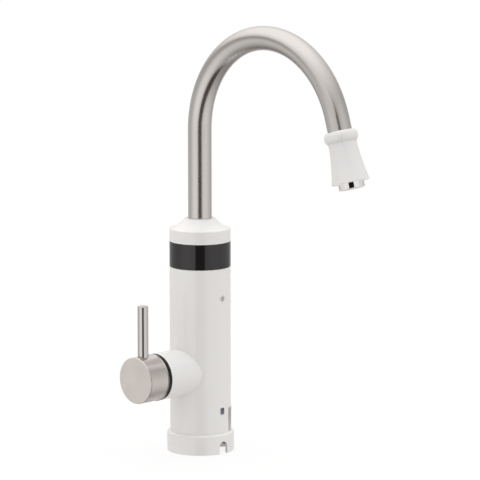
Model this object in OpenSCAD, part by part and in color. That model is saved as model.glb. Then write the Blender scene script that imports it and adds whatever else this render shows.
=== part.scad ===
// Instant water heater tap: a heated column with a side lever and a swivel gooseneck spout.
// Millimetres. The origin is on the column's axis at the plane that it stands on, +Z up.
// At rest the spout points along -Y, and the lever's axis leaves the column along -X.

/* [Column] */
// Outer diameter of the case, window ring and top cap
body_d = 60; // [59:0.5:64]
// Wall of the case, window ring and top cap
wall_t = 2.5; // [2.2:0.1:2.8]
// Height of the case from the base ring to the window ring
case_h = 163; // [160:1:180]
// Height of the dark window ring
window_h = 25; // [24:0.5:30]
// Height of the top cap's straight side
cap_side_h = 12.4; // [12:0.2:16]
// Height of the top cap's concave cone
cone_h = 9; // [8.5:0.5:12]
// Radius of the hollow curve along the cone
cone_curve_r = 30; // [28:1:60]
// Height of the flat lip round the tube
lip_h = 1; // [0.8:0.1:1.5]
// Depth of the bevel at the case's top edge
top_bevel = 0.4; // [0.2:0.1:0.8]
// Height of the bevel at the case's top edge
top_bevel_h = 1.7; // [1:0.1:3]

/* [Base] */
// Outer diameter of the base ring
base_d = 66; // [66:0.5:70]
// Wall of the base ring's skirt
base_wall = 2.4; // [2.1:0.1:2.8]
// Height of the base ring's straight side
base_h = 17.6; // [17:0.2:20]
// Height of the rounded shoulder up to the case
shoulder_h = 2.2; // [2:0.1:3]
// Thickness of the floor inside the base ring
web_t = 3.8; // [3.5:0.1:4.5]
// Width of the arched cable notch
notch_w = 10; // [8:0.5:12]
// Height of the arched cable notch
notch_h = 12.3; // [11:0.1:13]
// Bore of the cable gland
gland_bore = 7.2; // [6.5:0.1:7.6]

/* [Lever] */
// Height of the lever's axis above the base plane
lever_z = 80.2; // [78:0.2:83]
// Outer diameter of the side boss at its outer end
boss_d = 45.6; // [44:0.2:46]
// Growth of the side boss's radius down to the column
boss_flare = 0.2; // [0.1:0.1:1.2]
// Distance from the column's axis to the side boss's outer end
boss_reach = 58.1; // [55:0.1:60]
// Width of the dark gap ring
gap_w = 3.1; // [2.4:0.1:6]
// Outer diameter of the handle cap
cap_d = 45.2; // [44:0.1:46]
// Length of the handle cap
cap_len = 24.5; // [24:0.1:28]
// Width of the raised lip at the handle cap's inner end
cap_lip_w = 1.8; // [1:0.1:2.4]
// Height of that lip over the handle cap's side
cap_lip_h = 0.4; // [0.2:0.1:0.6]
// Depth of the groove behind the handle cap's face
cap_groove = 0.35; // [0.2:0.05:0.5]
// Wall of the handle cap's side
cap_wall = 1.8; // [1.5:0.1:2.2]
// Thickness of the handle cap's face
cap_face_t = 2.5; // [2:0.1:3]
// Diameter of the lever rod
rod_d = 10.5; // [10:0.5:12]
// Height of the lever rod above the handle cap
rod_h = 49.2; // [40:0.2:60]
// Distance from the handle cap's face to the rod's axis
rod_back = 10.5; // [9.2:0.1:11.4]

/* [Spout] */
// Outer diameter of the spout tube
tube_d = 23.1; // [22.5:0.1:24.5]
// Wall of the spout tube
tube_wall = 0.8; // [0.7:0.1:1]
// Straight height of the tube above the top cap
rise = 86.5; // [70:0.5:100]
// Radius of the gooseneck along the tube's centre
bend_r = 95.8; // [90:0.1:110]
// Angle of the gooseneck
bend_angle = 162.6; // [150:0.2:170]
// Straight length between the gooseneck and the nozzle
end_len = 13; // [8:1:20]

/* [Nozzle] */
// Diameter of the round collar
collar_d = 32.2; // [31:0.2:34]
// Length of the round collar
collar_len = 10.6; // [9:0.2:12]
// Height of the soft curve from the collar to the neck (mm)
collar_ease = 1.4; // [0.6:0.1:3]
// Diameter of the neck under the collar
neck_d = 27; // [26.2:0.1:27.6]
// Diameter of the bell's mouth
mouth_d = 36.6; // [35:0.1:40]
// Length of the whole bell
bell_len = 48.8; // [48:0.1:56]
// Radius of the hollow curve along the bell
bell_curve_r = 197; // [150:1:300]
// Wall of the bell at its mouth
mouth_wall = 1.6; // [1.3:0.1:2]
// Diameter of the aerator
aerator_d = 25; // [24.6:0.1:26]
// Length of aerator that stands out of the mouth
aerator_out = 6; // [5:0.5:8]
// Number of flats round the aerator
aerator_flats = 16; // [12:4:24]

/* [Waterway] */
// Radius of the inlet's thread at its crests
thread_r = 9.32; // [9:0.01:9.6]
// Length of the inlet's thread
thread_len = 11; // [10:0.5:12]
// Width of the inlet's hexagon across its flats
hex_af = 27; // [26:0.5:28]
// Radius of the inlet's shank through the base
shank_r = 11; // [10.6:0.1:11.6]
// Radius of the inlet pipe
pipe_r = 8; // [7.5:0.1:8.5]
// Radius of the main waterway
water_r = 5.5; // [5:0.1:6]
// Height of the valve body
valve_h = 36; // [36:0.5:38]
// Radius of the valve body
valve_r = 13; // [12.5:0.1:13.5]
// Outer radius of the cartridge chamber
chamber_r = 17.5; // [17:0.1:17.8]
// Bore radius of the cartridge chamber
chamber_bore = 14.5; // [14.3:0.1:15]
// Length of the cartridge
cart_len = 26; // [25:0.5:27]
// Radius of the cartridge's spindle
spindle_r = 6; // [5.6:0.1:6.2]
// Width of the spindle's square end
square_w = 8; // [7.2:0.1:8]

/* [Heater] */
// Room between the tank and the case
tank_room = 7.5; // [7.1:0.1:8.5]
// Wall of the tank
tank_wall = 1.2; // [1:0.1:1.5]
// Thickness of the tank's lid
lid_t = 4; // [3.6:0.1:5]
// Space between the valve body and the lid for the terminals
terminal_space = 13; // [12.5:0.5:14]
// Radius of the heating element's tube
element_r = 3.2; // [2.8:0.1:3.4]
// Radius of the heating element's coil along its centre
coil_r = 11; // [10.5:0.1:12]
// Least rise of the heating element for each turn
coil_pitch_min = 9; // [8.6:0.1:11]

/* [Electrics] */
// Height of the control board
board_h = 30; // [26:1:31]
// Thickness of each circuit board
board_t = 1.6; // [1.2:0.1:2]
// Width of the display board
display_w = 26; // [22:0.5:27]
// Height of the display board
display_h = 13; // [11.5:0.5:13.5]

/* [Fits] */
// Radial clearance of what turns or slides
run_fit = 0.06; // [0.03:0.01:0.09]
// Radial clearance of what is assembled and stays
slip_fit = 0.15; // [0.1:0.01:0.2]
// Gap between moving and fixed faces
face_gap = 0.3; // [0.2:0.05:0.4]

/* [Hidden] */
$fn = 96;
cut = 1;
overlap = 0.6;

// Column
body_r = body_d / 2;
inner_r = body_r - wall_t;
base_r = base_d / 2;
base_top = base_h + shoulder_h;
web_z = base_top - web_t;
case_top = base_top + case_h;
window_top = case_top + window_h;
cap_edge_z = window_top + cap_side_h;
lip_z = cap_edge_z + cone_h;
cap_top = lip_z + lip_h;
foot_round = 0.8;
edge_round = 0.5;
spigot_t = 2;
spigot_h = 6.5;
cap_spigot_h = 4.3;
spigot_r = inner_r - slip_fit;
ledge_h = 2.1;
ledge_z = case_top + ledge_h;
curve_steps = 8;

// Base
post_r = 3.4;
post_h = 8;
post_in = 0.7;
post_place = inner_r - post_r + post_in;
post_angles = [50, 180, 310];
screw_r = 1.5;
pilot_r = 1.3;
screw_head_r = 2.75;
screw_head_h = 1.8;
hex_r = hex_af / 2 / cos(30);
relief_in = 1.3;
relief_r = thread_r + relief_in;
relief_h = 2.4;
strainer_in = 1;
strainer_r = thread_r + strainer_in;
socket_depth = 4;
shank_rise = 14.2;
shank_top = base_top + shank_rise;
nut_af = 30;
nut_h = 5;
gland_wall = 0.9;
gland_r = gland_bore / 2 + gland_wall;
gland_flange_r = gland_r + gland_wall;
gland_flange_h = 1.5;
gland_y = -(inner_r + nut_af / 2) / 2;

// Valve
valve_z0 = lever_z - valve_h / 2;
valve_z1 = valve_z0 + valve_h;
earth_rise = 4.5;
earth_z = valve_z0 + earth_rise;
earth_head_r = 3.2;
earth_head_h = 2.4;
spot_depth = 0.6;
chamber_floor = 16;
seal_t = 1.5;
disc_t = 4;
disc_room = 2.5;
disc_r = chamber_bore - disc_room;
housing_wall = 1.9;
housing_floor = 8;
cart_x0 = chamber_floor + seal_t;
cart_x1 = cart_x0 + cart_len;
nut_grip = 5;
nut_flange = 3;
chamber_end = cart_x1 + nut_grip;
driver_t = 3.6;
driver_x0 = cart_x0 + 2 * disc_t;
driver_x1 = driver_x0 + driver_t;
housing_floor_x = driver_x1 + face_gap;
port_place = 6;
port_r = 2.2;
port_angles = [30, 150, 270];
peg_r = 1.2;
peg_place = 8;
ring_groove = 1.6;
ring_groove_r = spindle_r - ring_groove;
ring_groove_w = 1.8;
ring_x = (housing_floor_x + cart_x1) / 2;

// Flow switch
flow_out = 0.5;
flow_face = valve_r + flow_out;
flow_r = 11.5;
flow_cavity_r = 8.5;
flow_cavity_depth = 3.5;
diaphragm_t = 0.8;
cover_t = 4.4;
cover_x0 = flow_face + diaphragm_t;
cover_x1 = cover_x0 + cover_t;
plunger_r = 1.4;
plunger_head_r = 3.4;
plunger_head_t = 1;
plunger_travel = 1.2;
spring_r = 2.5;
spring_wire_r = 0.25;
spring_turns = 3;
spring_room = 3.4;
switch_gap = 1.4;
switch_w = 6.4;
switch_h = 19;
switch_x0 = cover_x1 + switch_gap;
switch_x1 = sqrt(inner_r * inner_r - switch_w * switch_w / 4) - 0.5;
button_w = 2.4;
cheek_t = 1.4;
cheek_w = 12;
cheek_in = 5;
cheek_y = switch_w / 2 + slip_fit + cheek_t / 2;
button_in = 2.4;
button_out = 0.9 * switch_gap - 0.05;
cover_screw_place = 10;
cover_screw_r = 0.8;

// Handle
boss_r = boss_d / 2;
boss_bore = boss_r - wall_t;
boss_root_r = boss_r + boss_flare * boss_reach / (boss_reach - inner_r);
ring_r = boss_r;
cap_r = cap_d / 2;
cap_lip_r = cap_r + cap_lip_h;
cap_round = 0.7;
cap_rim_w = 1;
cap_groove_w = 0.6;
gap_x = boss_reach + gap_w;
cap_x0 = gap_x + face_gap;
cap_x1 = cap_x0 + cap_len;
rod_x = cap_x1 - rod_back;
rod_r = rod_d / 2;
stub_r = 4;
hub_r = 8.5;
hub_back = 3.2;
hub_x0 = cap_x0 + hub_back;
square_in = 10;
square_depth = hub_x0 + square_in;
pillar_wall = 3;
pillar_r = stub_r + pillar_wall;
seat_in = 1.05;
seat_z = lever_z + cap_r - seat_in;
stub_up = 1.6;
stub_z = lever_z + hub_r + stub_up;
grub_in = 5;
grub_x = hub_x0 + grub_in;
grub_r = 2.4;

// Heater
socket_tail_h = 7;
cutout_h = 5;
lid_z0 = valve_z1 + terminal_space;
lid_z1 = lid_z0 + lid_t;
cutout_room = 0.9;
tank_r = inner_r - tank_room;
tank_top = ledge_z - socket_tail_h - cutout_room - cutout_h;
tank_h = tank_top - lid_z1;
flange_room = 0.7;
flange_r = inner_r - flange_room;
flange_t = 2;
tank_screw_place = flange_r - screw_head_r - 0.15;
tank_screws_n = 6;
seal_out = 0.55;
seal_place = tank_r + seal_out;
seal_r = 0.75;
feed_x = 6;
feed_y = port_place * cos(30);
feed_r = 3;
leg_angle = 50;
leg_x = coil_r * cos(leg_angle);
leg_y = coil_r * sin(leg_angle);
bushing_r = 4.5;
bushing_h = 4;
terminal_h = 5;
coil_foot = 6.5;
coil_head = 18;
coil_z0 = lid_z1 + coil_foot;
coil_z1 = tank_top - coil_head;
// Half turns more than whole ones, so that the coil's end lies across from its start
coil_turns = max(1, floor((coil_z1 - coil_z0) / coil_pitch_min + 0.501)) - 0.5;
coil_pitch = (coil_z1 - coil_z0) / coil_turns;
loop_drop = 8;
loop_rise = 16;
probe_x = 12;
probe_r = 2;
probe_head_r = 4;
probe_len = 8;
outlet_r = 5;
cutout_gap = 0.2;
cutout_edge = 0.8;
cutout_r = (tank_r - outlet_r - cutout_gap - cutout_edge) / 2;
cutout_x = tank_r - cutout_r - cutout_edge;
outlet_bore = 3.8;
outlet_in = 5;

// Spout joint
socket_flange_t = 3;
tube_r = tube_d / 2;
socket_bore = tube_r + run_fit;
socket_wall = 4.4;
socket_r = socket_bore + socket_wall;
socket_floor = ledge_z + socket_flange_t + 2;
bush_z0 = socket_floor + face_gap;
bush_h = 13.5;
bush_flange_z = bush_z0 + bush_h;
bush_flange_t = 3;
bush_lip = 1.95;
bush_flange_r = tube_r + bush_lip;
tube_z0 = bush_flange_z + bush_flange_t;
counterbore_r = bush_flange_r + face_gap;
washer_t = 1;
swivel_top = tube_z0 + washer_t;
nut_lip_t = 3.3;
nut_skirt = 8;
nut_wall = 2.6;
swivel_nut_r = socket_r + nut_wall;
sleeve_r = tube_r - tube_wall - 0.05;
sleeve_h = 11;
o_ring_r = 1.2;
o_ring_z = [bush_z0 + 3.2, bush_z0 + 8.2];
lip_w = 3.1;
lip_r = tube_r + lip_w;

// Gooseneck and nozzle
arc_z = cap_top + rise;
arc_end_y = -bend_r + bend_r * cos(bend_angle);
arc_end_z = arc_z + bend_r * sin(bend_angle);
nozzle_y = arc_end_y - end_len * sin(bend_angle);
nozzle_z = arc_end_z + end_len * cos(bend_angle);
collar_r = collar_d / 2;
neck_r = neck_d / 2;
collar_swell = collar_r - neck_r + 0.5;
collar_turn = 60;
collar_foot = [collar_r - collar_swell * (1 - cos(collar_turn)), collar_len / 2 * (1 + sin(collar_turn))];
neck_top = [neck_r, collar_len + collar_ease];
mouth_edge = 0.25;
bell_entry = 0.3;
mouth_r = mouth_d / 2;
end_swell = 0.05;
swell_len = 1;
bell_bore = tube_r + end_swell + 0.1;
tube_in = 16;
adapter_end = 38;
adapter_thread = 9;
adapter_thread_r = 11.3;
adapter_bore = 8;
aerator_r = aerator_d / 2;
aerator_end = bell_len + aerator_out;
aerator_gap = 0.4;
aerator_start = adapter_end + aerator_gap;
aerator_wall = 1.1;
adapter_tip = adapter_end + adapter_thread;
washer_h = 1.5;
insert_z = adapter_tip + washer_h;
insert_r = aerator_r - aerator_wall - 0.1;
insert_t = 5;
mesh_r = 0.8;
mesh_pitch = 2.2;

// Electrics
rail_t = 2;
block_d = 7;
block_gap = 0.4;
board_y = shank_r + block_d + block_gap;
board_w = 2 * (sqrt(inner_r * inner_r - pow(board_y + board_t, 2)) - rail_t);
board_rise = 9.2;
board_z0 = base_top + board_rise;
rail_h = board_h + 2;
rail_foot = 2;
relay_w = 13;
relay_h = 16;
relay_d = 6;
block_w = 18;
block_h = 9;
display_z0 = ledge_z + socket_flange_t;
display_room = 1;
display_y = sqrt(inner_r * inner_r - display_w * display_w / 4) - board_t - display_room;
digits_w = 16;
digits_h = 9;
digits_d = 2;

// Service screw
service_z = 153.4;
service_angle = 3;
service_head_r = 3;
service_head_h = 1.1;
block_half = 6;

// Points along an ellipse's arc
function ellipse_arc(cx, cz, rx, rz, a0, a1, n) =
  [for (i = [0:n]) let (a = a0 + (a1 - a0) * i / n) [cx + rx * cos(a), cz + rz * sin(a)]];

// Points along a circle's arc from p to q, with its centre to the right of the way
function arc_between(p, q, r, n) =
  let (
    d = q - p,
    len = norm(d),
    c = (p + q) / 2 + [d[1], -d[0]] / len * sqrt(r * r - len * len / 4),
    a0 = atan2(p[1] - c[1], p[0] - c[0]),
    a1 = atan2(q[1] - c[1], q[0] - c[0]),
    turn = (a1 - a0 + 540) % 360 - 180
  )
  [for (i = [0:n]) let (a = a0 + turn * i / n) [c[0] + r * cos(a), c[1] + r * sin(a)]];

// A point on a cubic curve
function bezier(a, b, c, d, t) =
  a * pow(1 - t, 3) + b * 3 * t * pow(1 - t, 2) + c * 3 * t * t * (1 - t) + d * pow(t, 3);

function unit(v) = v / norm(v);

module revolve(points) {
  rotate_extrude() polygon(points);
}

// A round bar along the lever's axis from x0 to x1, at height z and offset y
module along_x(x0, x1, r, y = 0, z = lever_z) {
  translate([x0, y, z]) rotate([0, 90, 0]) cylinder(r = r, h = x1 - x0);
}

// The same, counted outward from the column to the lever's side
module outward(d0, d1, r, y = 0, z = lever_z) {
  along_x(-d1, -d0, r, y, z);
}

module pipe(z0, z1, r, bore) {
  translate([0, 0, z0]) difference() {
    cylinder(r = r, h = z1 - z0);
    translate([0, 0, -cut]) cylinder(r = bore, h = z1 - z0 + 2 * cut);
  }
}

// A torus of section radius r round the Z axis
module o_ring(place, r) {
  rotate_extrude() translate([place, 0]) circle(r = r, $fn = 32);
}

// A round tube swept along a path of points
module sweep(path, r, sides) {
  n = len(path);
  tangents = [for (i = [0:n - 1]) unit(path[min(i + 1, n - 1)] - path[max(i - 1, 0)])];
  first = abs(tangents[0][0]) < 0.9 ? [1, 0, 0] : [0, 1, 0];
  start = unit(first - (first * tangents[0]) * tangents[0]);
  normals = [
    for (i = 0, v = start; i < n; i = i + 1, v = i < n ? unit(v - (v * tangents[i]) * tangents[i]) : v) v
  ];
  rings = [
    for (i = [0:n - 1], k = [0:sides - 1])
      let (a = 360 * k / sides)
      path[i] + r * (cos(a) * normals[i] + sin(a) * cross(tangents[i], normals[i]))
  ];
  walls = [
    for (i = [0:n - 2], k = [0:sides - 1])
      let (a = i * sides + k, b = i * sides + (k + 1) % sides)
      each [[a, a + sides, b], [b, a + sides, b + sides]]
  ];
  floor_cap = [for (k = [1:sides - 2]) [0, k, k + 1]];
  top = (n - 1) * sides;
  top_cap = [for (k = [1:sides - 2]) [top, top + k + 1, top + k]];
  polyhedron(points = rings, faces = concat(walls, floor_cap, top_cap));
}

// Children in the nozzle's frame: origin at the collar's top, +Z the way the water leaves
module at_nozzle() {
  translate([0, nozzle_y, nozzle_z]) rotate([bend_angle, 0, 0]) children();
}

// Children in the service screw's frame: on the case's surface, +Z out of the case
module at_service_screw() {
  rotate([0, 0, service_angle]) translate([0, -body_r, service_z]) rotate([90, 0, 0]) children();
}

// Children on each of the posts that hold the case to the base
module at_posts() {
  for (a = post_angles) rotate([0, 0, a]) translate([post_place, 0, 0]) children();
}

// A spigot that drops by h from a ring's lower edge into the ring below it
function spigot(edge_z, h) = [
  [spigot_r - spigot_t, edge_z - h],
  [spigot_r - 0.4, edge_z - h],
  [spigot_r, edge_z - h + 0.8],
  [spigot_r, edge_z]
];

// Base

module base_ring() {
  color("whitesmoke")
  difference() {
    revolve(concat(
      [[base_r - base_wall, 0]],
      ellipse_arc(base_r - foot_round, foot_round, foot_round, foot_round, -90, 0, 4),
      ellipse_arc(body_r, base_h, base_r - body_r, shoulder_h, 0, 90, curve_steps),
      [[shank_r + slip_fit, base_top], [shank_r + slip_fit, web_z], [base_r - base_wall, web_z]]
    ));
    cable_notch();
    at_posts() translate([0, 0, web_z - cut]) cylinder(r = screw_r + slip_fit, h = web_t + 2 * cut);
    translate([0, gland_y, web_z - cut]) cylinder(r = gland_r + slip_fit, h = web_t + 2 * cut);
  }
}

module cable_notch() {
  arch_z = notch_h - notch_w / 2;
  translate([0, -base_r + base_wall + cut, arch_z]) rotate([90, 0, 0])
    cylinder(d = notch_w, h = base_wall + 2 * cut);
  translate([-notch_w / 2, -base_r - cut, -cut]) cube([notch_w, base_wall + 2 * cut, arch_z + cut]);
}

module base_screws() {
  color("silver")
  at_posts() difference() {
    union() {
      translate([0, 0, web_z - screw_head_h]) cylinder(r = screw_head_r, h = screw_head_h);
      translate([0, 0, web_z - overlap]) cylinder(r = pilot_r, h = web_t + post_h - 1 + overlap);
    }
    translate([0, 0, web_z - screw_head_h - cut]) cylinder(r = 1.4, h = cut + 1, $fn = 6);
  }
}

module cable_gland() {
  color("dimgray")
  translate([0, gland_y, 0]) difference() {
    union() {
      translate([0, 0, web_z - gland_flange_h]) cylinder(r = gland_flange_r, h = gland_flange_h);
      translate([0, 0, web_z - overlap]) cylinder(r = gland_r, h = web_t + 2 * overlap);
      translate([0, 0, base_top]) cylinder(r = gland_flange_r, h = gland_flange_h);
    }
    translate([0, 0, web_z - gland_flange_h - cut])
      cylinder(d = gland_bore, h = web_t + 2 * gland_flange_h + 2 * cut);
  }
}

module inlet_union() {
  color("goldenrod")
  difference() {
    union() {
      cylinder(r = hex_r, h = web_z, $fn = 6);
      translate([0, 0, web_z - overlap]) cylinder(r = shank_r, h = shank_top - web_z + overlap);
    }
    translate([0, 0, -cut]) cylinder(r = thread_r, h = thread_len + cut + overlap);
    translate([0, 0, thread_len]) cylinder(r = relief_r, h = relief_h);
    translate([0, 0, thread_len]) cylinder(r = water_r, h = shank_top);
    translate([0, 0, shank_top - socket_depth]) cylinder(r = pipe_r + slip_fit, h = socket_depth + cut);
  }
}

module inlet_strainer() {
  color("lightslategray")
  translate([0, 0, thread_len + slip_fit]) difference() {
    cylinder(r = strainer_r, h = relief_h - slip_fit);
    for (ring = [1:2], k = [0:6 * ring - 1])
      rotate([0, 0, 60 * k / ring]) translate([2.3 * ring, 0, -cut])
        cylinder(r = 0.8, h = relief_h + 2 * cut, $fn = 16);
  }
}

module inlet_nut() {
  color("darkgoldenrod")
  translate([0, 0, base_top]) difference() {
    cylinder(r = nut_af / 2 / cos(30), h = nut_h, $fn = 6);
    translate([0, 0, -cut]) cylinder(r = shank_r + run_fit, h = nut_h + 2 * cut);
  }
}

module inlet_pipe() {
  color("silver")
  pipe(shank_top - socket_depth, valve_z0 + socket_depth, pipe_r, water_r);
}

// Column

module main_case() {
  color("white")
  difference() {
    union() {
      revolve([
        [0, base_top], [body_r, base_top], [body_r, case_top - top_bevel_h],
        [body_r - top_bevel, case_top], [0, case_top]
      ]);
      translate([0, 0, lever_z]) rotate([0, -90, 0])
        cylinder(r1 = boss_root_r, r2 = boss_r, h = boss_reach);
    }
    difference() {
      translate([0, 0, base_top - cut]) cylinder(r = inner_r, h = case_h + 2 * cut);
      at_posts() translate([0, 0, base_top]) cylinder(r = post_r, h = post_h);
      for (side = [-1, 1]) board_rail(side);
    }
    outward(0, boss_reach + cut, boss_bore);
    at_posts() translate([0, 0, base_top - cut]) cylinder(r = pilot_r + run_fit, h = post_h + cut);
    at_service_screw() {
      translate([0, 0, -service_head_h - 0.3]) cylinder(r = service_head_r + slip_fit, h = wall_t);
      translate([0, 0, -2 * wall_t]) cylinder(r = screw_r + slip_fit, h = 2 * wall_t);
    }
  }
}

// A grooved rib inside the case that holds one edge of the control board
module board_rail(side) {
  lip = 3.2;
  translate([side * board_w / 2, board_y + board_t / 2, board_z0 - rail_foot]) difference() {
    translate([side < 0 ? -rail_t - 3 : -1.5, -board_t / 2 - lip / 2, 0])
      cube([rail_t + 4.5, board_t + lip + 3, rail_h]);
    translate([side < 0 ? -slip_fit : -1.5 - cut, -board_t / 2 - slip_fit, rail_foot])
      cube([1.5 + cut + slip_fit, board_t + 2 * slip_fit, rail_h]);
  }
}

module case_fixing_block() {
  color("dimgray")
  rotate([0, 0, service_angle]) difference() {
    intersection() {
      translate([-block_half, -inner_r, service_z - block_half])
        cube([2 * block_half, inner_r, 2 * block_half]);
      cylinder(r = inner_r - 0.2, h = case_top);
    }
    cylinder(r = tank_r + 0.1, h = case_top);
    translate([0, -tank_r - 1, service_z]) rotate([90, 0, 0])
      cylinder(r = pilot_r + run_fit, h = inner_r);
  }
}

module service_screw() {
  color("gray")
  at_service_screw() difference() {
    union() {
      translate([0, 0, -service_head_h - 0.3]) cylinder(r = service_head_r, h = service_head_h);
      translate([0, 0, -body_r + tank_r + 2]) cylinder(r = pilot_r, h = body_r - tank_r - 3);
    }
    for (a = [0, 90]) rotate([0, 0, a]) translate([-1.9, -0.4, -0.9]) cube([3.8, 0.8, 1]);
  }
}

module window_ring() {
  color("#1c1c1f")
  revolve(concat(
    [[inner_r, window_top], [inner_r, ledge_z], [spigot_r - spigot_t, ledge_z]],
    spigot(case_top, spigot_h),
    [[body_r - 0.15, case_top], [body_r, case_top + 0.3],
     [body_r, window_top - 0.3], [body_r - 0.15, window_top]]
  ));
}

module top_cap() {
  color("white")
  revolve(concat(
    [[spigot_r - spigot_t, window_top]],
    spigot(window_top, cap_spigot_h),
    [[body_r, window_top]],
    ellipse_arc(body_r - edge_round, cap_edge_z - edge_round, edge_round, edge_round, 0, 90, 3),
    cone_curve(0),
    [[lip_r, lip_z + 0.3], [lip_r, cap_top - 0.2], [lip_r - 0.2, cap_top],
     [tube_r + face_gap, cap_top], [tube_r + face_gap, lip_z - wall_t]],
    [for (i = [curve_steps:-1:0]) cone_curve(wall_t)[i]],
    [[inner_r, cap_edge_z - wall_t], [inner_r, window_top + 2.5]]
  ));
}

// The hollow curve of the cap's cone, or its inside at depth t
function cone_curve(t) = arc_between(
  [body_r - 2.1 - t, cap_edge_z - t], [lip_r + 0.9 - (t > 0 ? 1 : 0), lip_z - t], cone_curve_r, curve_steps);

// Valve and cartridge

module valve_body() {
  color("goldenrod")
  difference() {
    union() {
      translate([0, 0, valve_z0]) cylinder(r = valve_r, h = valve_h);
      outward(2, chamber_end, chamber_r);
      along_x(2, flow_face, flow_r);
    }
    outward(chamber_floor, chamber_end + cut, chamber_bore);
    along_x(flow_face - flow_cavity_depth, flow_face + cut, flow_cavity_r);
    translate([0, 0, valve_z0 - cut]) cylinder(r = pipe_r + slip_fit, h = socket_depth + cut);
    translate([0, 0, valve_z0]) cylinder(r = water_r, h = lever_z - port_place - valve_z0);
    outward(0, chamber_floor + cut, port_r, 0, lever_z - port_place);
    for (side = [-1, 1]) {
      outward(side < 0 ? 1 - flow_face : feed_x, chamber_floor + cut, port_r,
        side * feed_y, lever_z + port_place / 2);
      translate([-side * feed_x, side * feed_y, lever_z + port_place / 2]) cylinder(r = port_r, h = valve_h);
      translate([-side * feed_x, side * feed_y, valve_z1 - socket_depth])
        cylinder(r = feed_r + slip_fit, h = socket_depth + cut);
    }
    translate([0, -valve_r - cut, earth_z]) rotate([-90, 0, 0]) {
      cylinder(r = pilot_r + run_fit, h = 6 + cut);
      cylinder(r = earth_head_r + slip_fit, h = spot_depth + cut);
    }
    for (a = [45:90:315])
      along_x(flow_face - 5, flow_face + cut, cover_screw_r + run_fit,
        cover_screw_place * cos(a), lever_z + cover_screw_place * sin(a));
  }
}

module earth_screw() {
  color("silver")
  translate([0, -valve_r, earth_z]) rotate([-90, 0, 0]) {
    translate([0, 0, spot_depth - earth_head_h]) cylinder(r = earth_head_r, h = earth_head_h);
    cylinder(r = pilot_r, h = 5);
  }
}

// Three port holes through a disc of the cartridge
module ports(x0, x1, r) {
  for (a = port_angles)
    outward(x0 - cut, x1 + cut, r, port_place * cos(a), lever_z + port_place * sin(a));
}

module port_seal() {
  color("#333333")
  difference() {
    outward(chamber_floor, cart_x0, chamber_bore - 0.3);
    ports(chamber_floor, cart_x0, port_r);
  }
}

module fixed_ceramic_disc() {
  color("ivory")
  difference() {
    outward(cart_x0, cart_x0 + disc_t, disc_r);
    ports(cart_x0, cart_x0 + disc_t, port_r);
  }
}

module cartridge_housing() {
  color("steelblue")
  difference() {
    outward(cart_x0, cart_x1, chamber_bore - slip_fit);
    outward(cart_x0 - cut, housing_floor_x, disc_r + face_gap);
    outward(cart_x0, cart_x1 + cut, spindle_r + run_fit);
  }
}

module cartridge_nut() {
  color("darkgoldenrod")
  difference() {
    union() {
      outward(cart_x1, chamber_end + overlap, chamber_bore - run_fit);
      translate([-chamber_end, 0, lever_z]) rotate([0, -90, 0])
        cylinder(r = chamber_r + 1, h = nut_flange, $fn = 6);
    }
    outward(cart_x1 - cut, chamber_end + nut_flange + cut, spindle_r + 0.5);
  }
}

module moving_ceramic_disc() {
  color("floralwhite")
  difference() {
    outward(cart_x0 + disc_t, driver_x0, disc_r);
    outward(cart_x0 + disc_t - cut, cart_x0 + disc_t + 1.6, port_r + 0.6, 0, lever_z - port_place);
    outward(cart_x0 + disc_t - cut, cart_x0 + disc_t + 1.6, port_r + 0.6);
    for (side = [-1, 1]) outward(driver_x0 - 2.2, driver_x0 + cut, peg_r + run_fit, side * peg_place);
  }
}

module cartridge_spindle() {
  color("goldenrod")
  difference() {
    union() {
      outward(driver_x0, driver_x1, disc_r);
      outward(driver_x0 + overlap, hub_x0 - 0.5, spindle_r);
      translate([-square_depth + 0.5, -square_w / 2, lever_z - square_w / 2])
        cube([square_depth - hub_x0 + 2, square_w, square_w]);
      for (side = [-1, 1]) outward(driver_x0 - 2, driver_x0 + overlap, peg_r, side * peg_place);
    }
    difference() {
      outward(ring_x - ring_groove_w / 2, ring_x + ring_groove_w / 2, spindle_r + cut);
      outward(ring_x - ring_groove_w, ring_x + ring_groove_w, ring_groove_r);
    }
  }
}

module spindle_o_ring() {
  color("#2b2b2b")
  translate([-ring_x, 0, lever_z]) rotate([0, 90, 0]) o_ring(spindle_r - 0.8, 0.78);
}

// Flow switch

module flow_diaphragm() {
  color("#2b2b2b")
  difference() {
    along_x(flow_face, cover_x0, flow_r);
    cover_screw_holes(flow_face - cut, cover_x0 + cut, run_fit);
  }
}

module cover_screw_holes(x0, x1, fit) {
  for (a = [45:90:315])
    along_x(x0, x1, cover_screw_r + fit, cover_screw_place * cos(a), lever_z + cover_screw_place * sin(a));
}

module flow_switch_cover() {
  color("darkslategray")
  difference() {
    union() {
      along_x(cover_x0, cover_x1, flow_r);
      // Two cheeks that hold the microswitch between them
      for (side = [-1, 1])
        translate([cover_x1 - overlap, side * cheek_y - cheek_t / 2, lever_z - cheek_w / 2])
          cube([switch_gap + cheek_in + overlap, cheek_t, cheek_w]);
    }
    along_x(cover_x0 - cut, cover_x0 + spring_room, plunger_head_r + run_fit);
    along_x(cover_x0, cover_x1 + cut, plunger_r + run_fit);
    cover_screw_holes(cover_x0 - cut, cover_x1 + cut, run_fit);
  }
}

module cover_screws() {
  color("silver")
  for (a = [45:90:315]) {
    y = cover_screw_place * cos(a);
    z = lever_z + cover_screw_place * sin(a);
    along_x(flow_face - 4, cover_x1 + 0.2, cover_screw_r, y, z);
    along_x(cover_x1, cover_x1 + 0.8, 1.3, y, z);
  }
}

module flow_plunger() {
  color("white")
  union() {
    along_x(cover_x0, cover_x0 + plunger_head_t, plunger_head_r);
    along_x(cover_x0 + overlap, switch_x0 - button_out - 0.1, plunger_r);
  }
}

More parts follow.
